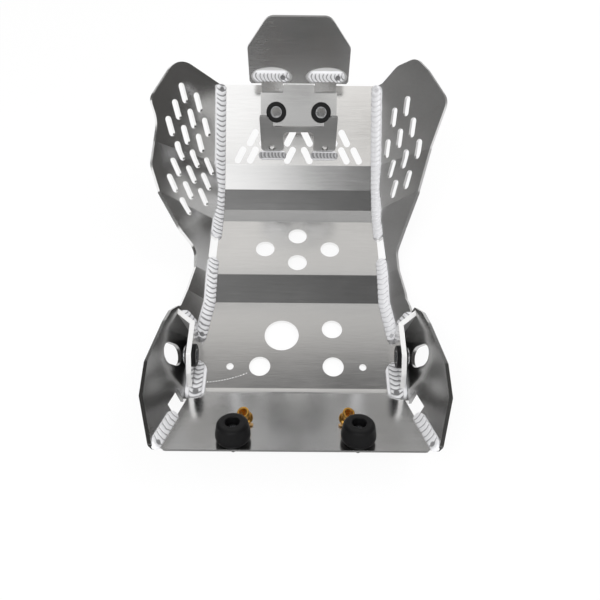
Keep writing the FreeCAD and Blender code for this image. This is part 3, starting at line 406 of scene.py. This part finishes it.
def weld_material(settings):
    """Rippled weld metal with painted shade in the valleys and a painted highlight on the crests, and a
    white matt rim.
    """
    recipe = Recipe.material("weld_metal")
    # The ripple attribute holds the painted highlight: lighter on the crests, darker in the valleys
    crest_highlight = recipe.node("ShaderNodeAttribute", {"attribute_name": "ripple"}, out="Fac")
    rim = recipe.node("ShaderNodeAttribute", {"attribute_name": "rim"}, out="Fac")
    grain = recipe.noise(recipe.node("ShaderNodeTexCoord", out="Object"), 900.0)
    tone = (VALLEY_SHADE_TONE + CREST_HIGHLIGHT_TONE * crest_highlight.smooth(0.03, 0.55)) * (1.0 - rim) + RIM_TONE * rim
    colour = recipe.toned(settings.colour, tone * (0.90 + 0.16 * grain))
    rough = 0.26 + 0.14 * grain + 0.25 * rim
    normal = recipe.bump(grain, 0.0001, 0.3)
    return recipe.surface(Base_Color=colour, Metallic=0.22 - 0.17 * rim, Roughness=rough, Normal=normal)


def rubber_material(settings):
    """Satin black moulded rubber."""
    recipe = Recipe.material("black_rubber")
    vector = recipe.node("ShaderNodeTexCoord", out="Object")
    cloud = recipe.noise(vector, 60.0, 2.0)
    colour = recipe.toned(settings.colour, 0.8 + 0.4 * cloud)
    rough = 0.35 + 0.15 * cloud
    normal = recipe.bump(recipe.noise(vector, 1500.0), 0.00006, 0.5)
    return recipe.surface(Base_Color=colour, Roughness=rough, Specular_IOR_Level=0.42, Normal=normal)


def turned_metal(name, colour, roughness):
    """Turned metal with fine machining marks."""
    recipe = Recipe.material(name)
    vector = recipe.node("ShaderNodeTexCoord", out="Object")
    grain = recipe.noise(recipe.stretched(vector, (900.0, 900.0, 2600.0)), 1.0, 2.0)
    tone = recipe.toned(colour, 0.88 + 0.2 * grain)
    rough = roughness + 0.08 * grain
    normal = recipe.bump(grain, 0.00003, 0.5)
    return recipe.surface(Base_Color=tone, Metallic=1.0, Roughness=rough, Normal=normal)


class Run(NamedTuple):
    """One straight run of a seam."""
    start: Vector
    along: Vector
    length: float
    facing: Vector
    reach: float

    def beyond(self, point):
        """How far past the run's ends a point lies."""
        travel = (point - self.start).dot(self.along)
        return max(-travel, travel - self.length, 0.0)


class BeadShape(NamedTuple):
    """The measures of one bead: half its width, then how its ripples lie, then how strong the painted
    highlight on its ripples is and how much painted light lifts it all over.
    """
    half: float
    pitch: float
    bow: float
    height: float
    smoothing: int
    shift: float = 0.0
    slant: float = 0.0
    craters: tuple = ()
    highlight_strength: float = 1.0
    painted_light: float = 0.0


def strip_ends():
    """How far forwards and up each strip of the base plate ends."""
    y = z = 0.0
    ends = []
    for length, rise in STRIPS:
        y += length * math.cos(math.radians(rise))
        z += length * math.sin(math.radians(rise))
        ends.append((y, z))
    return ends


def rear_edge(distance):
    """A point on the rear panel's side edge, this far from the rear fold."""
    y = -distance * math.cos(math.radians(REAR_RISE))
    z = distance * math.sin(math.radians(REAR_RISE))
    return (EAR_HALF_WIDTH + z / math.tan(math.radians(WING_LEAN)), y, z)


def side_seams():
    """The inside corners that the side welds fill, right side, with the lean of the sheet beside each."""
    floor, step, middle, first, second, third, top = strip_ends()
    flare = EAR_HALF_WIDTH - EAR_SHEET
    start = HALF_WIDTH + (flare - HALF_WIDTH) * (floor[0] - LOWER_WELD_END) / (floor[0] - FLARE_END)
    upper = [(HALF_WIDTH, DRAIN_GAP[1], middle[1])]
    upper += [(HALF_WIDTH,) + end for end in (middle, first, second, third)]
    upper += [(FRONT_HALF_WIDTH,) + top]
    lower = [(start, LOWER_WELD_END, 0.0), (HALF_WIDTH,) + floor]
    lower += [(HALF_WIDTH,) + step, (HALF_WIDTH, DRAIN_GAP[0], step[1])]
    wing = [rear_edge(distance) for distance in WING_RUN]
    return {
        "upper_weld": (upper, WALL_LEAN),
        "lower_weld": (lower, WALL_LEAN),
        "wing_weld": (wing, WING_LEAN),
    }


def seam_faces(points, side, lean):
    """For each run of a seam, the way out of the corner, halfway between its two sheets."""
    middle = math.radians(180.0 - lean) / 2
    faces = []
    for first, last in zip(points, points[1:]):
        along = (last - first).normalized()
        outward = Vector((side * along.y, -side * along.x, 0.0)).normalized()
        upward = outward.cross(along)
        if upward.z < 0.0:
            upward = -upward
        faces.append(upward * math.sin(middle) - outward * math.cos(middle))
    return faces


def seam_runs(points, faces):
    """The straight runs of a seam, each with its facing and with how far along the seam it starts."""
    runs = []
    reach = 0.0
    for first, last, facing in zip(points, points[1:], faces):
        step = last - first
        runs.append(Run(first, step.normalized(), step.length, facing, reach))
        reach += step.length
    return runs


def ripple_step(phase):
    """One overlapping ripple: a steep back, then a long slope down to the next."""
    part = phase - math.floor(phase)
    if part > LONG_SLOPE:
        rise = (part - LONG_SLOPE) / STEEP_BACK
        return rise * rise * (3.0 - 2.0 * rise)
    return 1.0 - (part / LONG_SLOPE) ** 1.5


def fade(value, low, high):
    """Falls smoothly from 1 at low to 0 at high."""
    share = min(max((value - low) / (high - low), 0.0), 1.0)
    return 1.0 - share * share * (3.0 - 2.0 * share)


def bead_marks(mesh, runs, shape):
    """For each point of a bead: how high its ripple is, how deep its crater, how near the rim, how light
    its painted highlight is.
    """
    marks = []
    for vertex, normal in zip(mesh.vertices, mesh.vertex_normals):
        run = min(runs, key=lambda candidate: candidate.beyond(vertex.co))
        offset = vertex.co - run.start
        across = offset.dot(run.facing.cross(run.along)) - shape.shift
        along = run.reach + offset.dot(run.along)
        wobble = 0.22 * noise.noise(vertex.co * 90.0) + 0.10 * noise.noise(vertex.co * 260.0)
        bent = along - shape.bow * across * across + shape.slant * across
        level = ripple_step(bent / shape.pitch + wobble)
        on_top = 1.0 - fade(normal.vector.dot(run.facing), 0.05, 0.35)
        show = fade(abs(across) / shape.half, 0.66, 0.96) * on_top
        dip = 0.0
        for place, width in shape.craters:
            far = math.hypot(along - place, across) / width
            dip = max(dip, fade(far, 0.15, 1.0))
            level = level * fade(1.0 - far, 0.1, 0.6)
        # Painted highlight: the bead's painted lift plus the ripple level times its highlight strength
        painted_light = shape.painted_light + (1.0 - shape.painted_light) * level * shape.highlight_strength
        marks.append((level * show, dip * show, 1.0 - show, show * painted_light))
    return marks


def weight_group(piece, name, weights):
    """Gives a piece a vertex group whose weights follow a list."""
    group = piece.vertex_groups.new(name=name)
    levels = {}
    for index, weight in enumerate(weights):
        levels.setdefault(round(min(max(weight, 0.0), 1.0) * 60), []).append(index)
    for level, members in levels.items():
        group.add(members, level / 60.0, "REPLACE")


def point_values(piece, name, values):
    """Gives each point of a piece a value that its material reads."""
    attribute = piece.data.attributes.new(name, "FLOAT", "POINT")
    attribute.data.foreach_set("value", values)


def apply(piece, kind, **settings):
    """Adds a modifier to a piece and applies it."""
    modifier = piece.modifiers.new(kind.lower(), kind)
    for key, value in settings.items():
        setattr(modifier, key, value)
    bpy.ops.object.modifier_apply(modifier=modifier.name)


def rippled_bead(node, points, faces, shape, material):
    """The bead of one node, cast in ripples along its seam."""
    bpy.ops.object.select_all(action="DESELECT")
    bead = bpy.data.objects.new(node + "_ripples", NODES[node].data.copy())
    bpy.context.scene.collection.objects.link(bead)
    bpy.context.view_layer.objects.active = bead
    bead.select_set(True)
    bpy.ops.object.mode_set(mode="EDIT")
    bpy.ops.mesh.select_all(action="SELECT")
    bpy.ops.mesh.remove_doubles(threshold=MERGE)
    bpy.ops.object.mode_set(mode="OBJECT")
    apply(bead, "REMESH", mode="VOXEL", voxel_size=VOXEL)
    apply(bead, "SMOOTH", factor=0.5, iterations=shape.smoothing)
    ripples, dips, rims, crest_highlights = zip(*bead_marks(bead.data, seam_runs(points, faces), shape))
    weight_group(bead, "ripple", ripples)
    weight_group(bead, "crater", dips)
    sink = -CRATER_DEPTH * shape.height
    apply(bead, "DISPLACE", vertex_group="ripple", mid_level=0.0, strength=shape.height)
    apply(bead, "DISPLACE", vertex_group="crater", mid_level=0.0, strength=sink)
    bead.vertex_groups.clear()
    # The crests' painted highlight, read by the weld material as its ripple attribute
    point_values(bead, "ripple", crest_highlights)
    point_values(bead, "rim", rims)
    bpy.ops.object.shade_smooth()
    bead.data.materials.clear()
    bead.data.materials.append(material)
    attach(bead, "root")
    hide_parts(node)


def side_beads(side, name, settings, material):
    """The long beads of one side: beside the wall, and between the rear panel and the wing."""
    origin = fold_origin()
    for seam, (points, lean) in side_seams().items():
        line = [origin + Vector((side * x, y, z)) for x, y, z in points]
        length = sum((last - first).length for first, last in zip(line, line[1:]))
        crater = (length - 0.006, 0.0045) if seam == "upper_weld" else (0.005, 0.0042)
        rise = 0.55 if seam == "wing_weld" else 1.0
        node = name + "_" + seam
        shape = BeadShape(
            half=0.0078, pitch=settings.pitch, bow=80.0, height=rise * settings.height, smoothing=2,
            # painted_light lifts the whole bead's tone as painted light
            shift=side * 0.0006, craters=(crater,), painted_light=PAINTED_LIGHT_WELDS.get(node, 0.0))
        rippled_bead(node, line, seam_faces(line, side, lean), shape, material)


def ear_beads(side, name, settings, material):
    """The bead at the foot of an ear, and the one between its flange and the wall."""
    node = name + "_ear_weld"
    middle, size = node_box(node)
    start = Vector((middle.x, middle.y - size.y / 2, fold_origin().z))
    line = [start, start + Vector((0.0, size.y, 0.0))]
    facing = Vector((-0.45 * side, 0.0, 0.9)).normalized()
    shape = BeadShape(
        half=0.37 * size.x, pitch=0.0051, bow=95.0, height=settings.height, smoothing=6,
        shift=side * -0.0014, craters=((0.006, 0.004),), highlight_strength=0.75)
    rippled_bead(node, line, [facing], shape, material)
    node = name + "_flange_weld"
    middle, size = node_box(node)
    along = Vector((side * size.x, size.y, 0.8 * size.y)).normalized()
    line = [middle - along * 0.012, middle + along * 0.012]
    facing = Vector((0.0, 0.25, 0.97)).normalized()
    shape = BeadShape(half=0.0075, pitch=0.005, bow=60.0, height=0.35 * settings.height, smoothing=8)
    rippled_bead(node, line, [facing], shape, material)


def bracket_beads(name, settings, material):
    """The pads that hold the guard and the riser, cast from left to right."""
    for pad, (facing, half, rise, highlight_strength, slant, crater) in BRACKET_PADS.items():
        node = name + "_" + pad
        middle, size = node_box(node)
        reach = Vector((size.x / 2, 0.0, 0.0))
        shape = BeadShape(
            half=half, pitch=0.0044, bow=110.0, height=rise * settings.height, smoothing=10, slant=slant,
            craters=((size.x - 0.0075, 0.0045),) if crater else (), highlight_strength=highlight_strength)
        rippled_bead(node, [middle - reach, middle + reach], [Vector(facing)], shape, material)


class SheetFinish(PropertyGroup):
    """The look of the brushed sheet"""
    colour: FloatVectorProperty(
        name="Sheet colour", description="Colour of the brushed sheet",
        subtype="COLOR", default=(0.90, 0.898, 0.893))
    roughness: FloatProperty(
        name="Sheet roughness", description="How dull the brushed sheet is",
        default=0.17, min=0.0, max=1.0)
    brushing: FloatProperty(
        name="Brushing", description="Strength of the brushed lines",
        default=0.35, min=0.0, max=1.0)


class WeldFinish(PropertyGroup):
    """The look of the weld beads and the measures of their ripples"""
    colour: FloatVectorProperty(
        name="Weld colour", description="Colour of the weld metal",
        subtype="COLOR", default=(0.86, 0.86, 0.88))
    pitch: FloatProperty(
        name="Ripple pitch", description="Distance from one ripple of a side bead to the next",
        subtype="DISTANCE", default=0.006)
    height: FloatProperty(
        name="Ripple height", description="How far the ripples stand out",
        subtype="DISTANCE", default=0.0006)


class RubberFinish(PropertyGroup):
    """The look of the bumpers and grommets"""
    colour: FloatVectorProperty(
        name="Rubber colour", description="Colour of the rubber",
        subtype="COLOR", default=(0.0055, 0.0055, 0.006))


class FittingFinish(PropertyGroup):
    """The look of the bushes, screws and inserts"""
    steel: FloatVectorProperty(
        name="Steel colour", description="Colour of the plated steel",
        subtype="COLOR", default=(0.75, 0.76, 0.78))
    brass: FloatVectorProperty(
        name="Brass colour", description="Colour of the brass",
        subtype="COLOR", default=(0.95, 0.52, 0.12))


class Studio(PropertyGroup):
    """The camera and the floor"""
    pitch: FloatProperty(
        name="Pitch", description="How far the camera looks down",
        subtype="ANGLE", default=math.radians(56.0))
    yaw: FloatProperty(
        name="Yaw", description="How far the camera turns to its left",
        subtype="ANGLE", default=math.radians(-0.451))
    roll: FloatProperty(
        name="Roll", description="How far the camera leans",
        subtype="ANGLE", default=math.radians(0.865))
    height: FloatProperty(
        name="Height", description="Camera height above the floor panel",
        subtype="DISTANCE", default=0.504)
    behind: FloatProperty(
        name="Behind", description="Camera distance behind the rear fold",
        subtype="DISTANCE", default=0.2284)
    lens: FloatProperty(
        name="Lens", description="Focal length",
        subtype="DISTANCE_CAMERA", default=32.4)
    floor: FloatProperty(
        name="Floor size", description="Width of the floor",
        subtype="DISTANCE", default=30.0)


class SKIDPLATE_OT_sheet(Operator):
    """Gives the folded sheets their brushed aluminium"""
    bl_idname = "skidplate.sheet"
    bl_label = "Brush the sheets"

    def execute(self, context):
        for name, nodes, dull, shade in SHEET_FINISHES:
            dress(nodes, sheet_material(context.scene.skid_sheet, name, dull, shade))
        return {"FINISHED"}


class SKIDPLATE_OT_welds(Operator):
    """Casts the weld beads in ripples and gives them their metal"""
    bl_idname = "skidplate.welds"
    bl_label = "Cast the welds"

    def execute(self, context):
        settings = context.scene.skid_weld
        material = weld_material(settings)
        for side, name in ((-1, "left"), (1, "right")):
            side_beads(side, name, settings, material)
            ear_beads(side, name, settings, material)
            bracket_beads(name, settings, material)
        return {"FINISHED"}


class SKIDPLATE_OT_rubber(Operator):
    """Gives the bumpers and grommets their rubber"""
    bl_idname = "skidplate.rubber"
    bl_label = "Dress the rubber"

    def execute(self, context):
        dress(RUBBER_NODES, rubber_material(context.scene.skid_rubber))
        return {"FINISHED"}


class SKIDPLATE_OT_fittings(Operator):
    """Gives the bushes, screws and inserts their metal"""
    bl_idname = "skidplate.fittings"
    bl_label = "Dress the fittings"

    def execute(self, context):
        settings = context.scene.skid_fitting
        dress(STEEL_NODES, turned_metal("plated_steel", settings.steel, roughness=0.2))
        dress(BRASS_NODES, turned_metal("turned_brass", settings.brass, roughness=0.16))
        return {"FINISHED"}


def add_camera(context, settings):
    """The camera, set by its pitch, yaw and roll above and behind the rear fold."""
    pitch, roll = settings.pitch, settings.roll
    turn = Matrix.Rotation(settings.yaw, 3, "Z")
    right = turn @ Vector((1.0, 0.0, 0.0))
    up = turn @ Vector((0.0, math.sin(pitch), math.cos(pitch)))
    ahead = turn @ Vector((0.0, math.cos(pitch), -math.sin(pitch)))
    side = right * math.cos(roll) + up * math.sin(roll)
    top = up * math.cos(roll) - right * math.sin(roll)
    data = bpy.data.cameras.new("camera")
    data.lens = settings.lens
    data.clip_start, data.clip_end = CAMERA_NEAR, CAMERA_FAR
    camera = bpy.data.objects.new("camera", data)
    context.scene.collection.objects.link(camera)
    place = fold_origin() + Vector((CAMERA_SHIFT, -settings.behind, settings.height))
    axes = Matrix((side, top, -ahead)).transposed().to_4x4()
    camera.matrix_world = Matrix.Translation(place) @ axes
    context.scene.camera = camera


def add_lamp(context, name, place, size, power):
    """A soft lamp that the metal doesn't reflect."""
    data = bpy.data.lights.new(name, "AREA")
    data.shape = "RECTANGLE"
    data.size, data.size_y = size
    data.energy = power
    lamp = bpy.data.objects.new(name, data)
    context.scene.collection.objects.link(lamp)
    lamp.location = place
    lamp.visible_glossy = False
    lamp.rotation_euler = (Vector(LAMP_AIM) - Vector(place)).to_track_quat("-Z", "Y").to_euler()


def room_ramp(recipe, angle, levels):
    """The brightness of the room by the angle over it. A ramp holds 32 stops at most."""
    shade = recipe.node("ShaderNodeValToRGB", None, angle)
    elements = shade.socket.node.color_ramp.elements
    while len(elements) < len(levels):
        elements.new(0.5)
    for element, (place, value, warmth) in zip(elements, levels):
        element.position = place
        element.color = (value, value * (1.0 - 0.45 * warmth), value * (1.0 - warmth), 1.0)
    return shade


def studio_world(context):
    """White to the camera, pale grey to matt surfaces, and to the metal a room of two ramps."""
    world = bpy.data.worlds.new("studio")
    context.scene.world = world
    world.use_nodes = True
    world.node_tree.nodes.clear()
    recipe = Recipe(world.node_tree)
    x, y, z = recipe.parts(recipe.node("ShaderNodeTexCoord", out="Generated"))
    angle = maths("ARCTAN2", z, y) / math.pi
    left, right = (room_ramp(recipe, angle, levels) for levels in (ROOM_LEFT, ROOM_RIGHT))
    room = recipe.blend(x.smooth(-ROOM_MEETING, ROOM_MEETING), left, right)
    room = recipe.blend(abs(x).smooth(*ROOM_SIDES), room, SIDE_GREY)
    camera, glossy = recipe.rays("Camera", "Glossy")
    colour = recipe.blend(camera, recipe.blend(glossy, SOFT_GREY, room), WHITE)
    background = recipe.node("ShaderNodeBackground", None, colour, 1.0)
    recipe.node("ShaderNodeOutputWorld", None, background)


def add_floor(context, size):
    """A white floor that keeps the shadow and is white to the camera and to the metal."""
    bpy.ops.object.select_all(action="DESELECT")
    bpy.ops.mesh.primitive_plane_add(size=size, location=(0.0, 0.0, -FLOOR_DROP))
    floor = context.active_object
    floor.name = "floor"
    recipe = Recipe.material("floor_white")
    camera, glossy, through = recipe.rays("Camera", "Glossy", "Transmission")
    clamped = {"operation": "ADD", "use_clamp": True}
    seen = recipe.node("ShaderNodeMath", clamped, camera + glossy, through)
    matt = recipe.node("ShaderNodeBsdfDiffuse", None, FLOOR_GREY)
    white = recipe.node("ShaderNodeEmission", None, WHITE, 1.0)
    mixed = recipe.node("ShaderNodeMixShader", None, FLOOR_GLOW * seen, matt, white)
    recipe.node("ShaderNodeOutputMaterial", None, mixed)
    floor.data.materials.append(recipe.block)


def add_flag(context, name, middle, size, grey):
    """A flat grey card that only the metal reflects."""
    bpy.ops.object.select_all(action="DESELECT")
    bpy.ops.mesh.primitive_plane_add(size=1.0, location=middle)
    flag = context.active_object
    flag.name = name
    flag.scale = (size[0], size[1], 1.0)
    bpy.ops.object.transform_apply(location=True, rotation=True, scale=True)
    recipe = Recipe.material(name + "_grey")
    glow = recipe.node("ShaderNodeEmission", None, (grey, grey, grey, 1.0), 1.0)
    recipe.node("ShaderNodeOutputMaterial", None, glow)
    flag.data.materials.append(recipe.block)
    flag.visible_camera = False
    flag.visible_diffuse = False
    flag.visible_shadow = False
    flag.visible_transmission = False


class SKIDPLATE_OT_stage(Operator):
    """Sets up the floor, the studio light and the camera"""
    bl_idname = "skidplate.stage"
    bl_label = "Set the stage"

    def execute(self, context):
        settings = context.scene.skid_studio
        context.scene.view_settings.view_transform = "Standard"
        studio_world(context)
        add_floor(context, settings.floor)
        for name, ((x, y), size, grey) in FLOOR_CARDS.items():
            add_flag(context, name, (x, y, CARD_LIFT), size, grey)
        fold = fold_origin()
        for name, ((ahead, above), size, grey) in RAISED_CARDS.items():
            add_flag(context, name, (fold.x, fold.y + ahead, fold.z + above), size, grey)
        for name, (place, size, power) in LAMPS.items():
            add_lamp(context, name, place, size, power)
        add_camera(context, settings)
        return {"FINISHED"}


class SKIDPLATE_PT_panel(Panel):
    """The skid plate's finishes and stage"""
    bl_idname = "SKIDPLATE_PT_panel"
    bl_label = "Skid plate"
    bl_space_type = "VIEW_3D"
    bl_region_type = "UI"
    bl_category = "Skid plate"

    def draw(self, context):
        for name, group in GROUPS.items():
            settings = getattr(context.scene, name)
            box = self.layout.box()
            for key in group.__annotations__:
                box.prop(settings, key)
        for operator in OPERATORS:
            self.layout.operator(operator.bl_idname)


GROUPS = {
    "skid_sheet": SheetFinish,
    "skid_weld": WeldFinish,
    "skid_rubber": RubberFinish,
    "skid_fitting": FittingFinish,
    "skid_studio": Studio,
}
OPERATORS = (
    SKIDPLATE_OT_stage, SKIDPLATE_OT_sheet, SKIDPLATE_OT_welds, SKIDPLATE_OT_rubber, SKIDPLATE_OT_fittings,
)


def register():
    for name, group in GROUPS.items():
        bpy.utils.register_class(group)
        setattr(bpy.types.Scene, name, PointerProperty(type=group))
    for operator in OPERATORS:
        bpy.utils.register_class(operator)
    bpy.utils.register_class(SKIDPLATE_PT_panel)


def unregister():
    bpy.utils.unregister_class(SKIDPLATE_PT_panel)
    for operator in reversed(OPERATORS):
        bpy.utils.unregister_class(operator)
    for name, group in reversed(GROUPS.items()):
        delattr(bpy.types.Scene, name)
        bpy.utils.unregister_class(group)


def main():
    register()
    bpy.ops.skidplate.stage()
    bpy.ops.skidplate.sheet()
    bpy.ops.skidplate.welds()
    bpy.ops.skidplate.rubber()
    bpy.ops.skidplate.fittings()


if __name__ == "__main__":
    main()
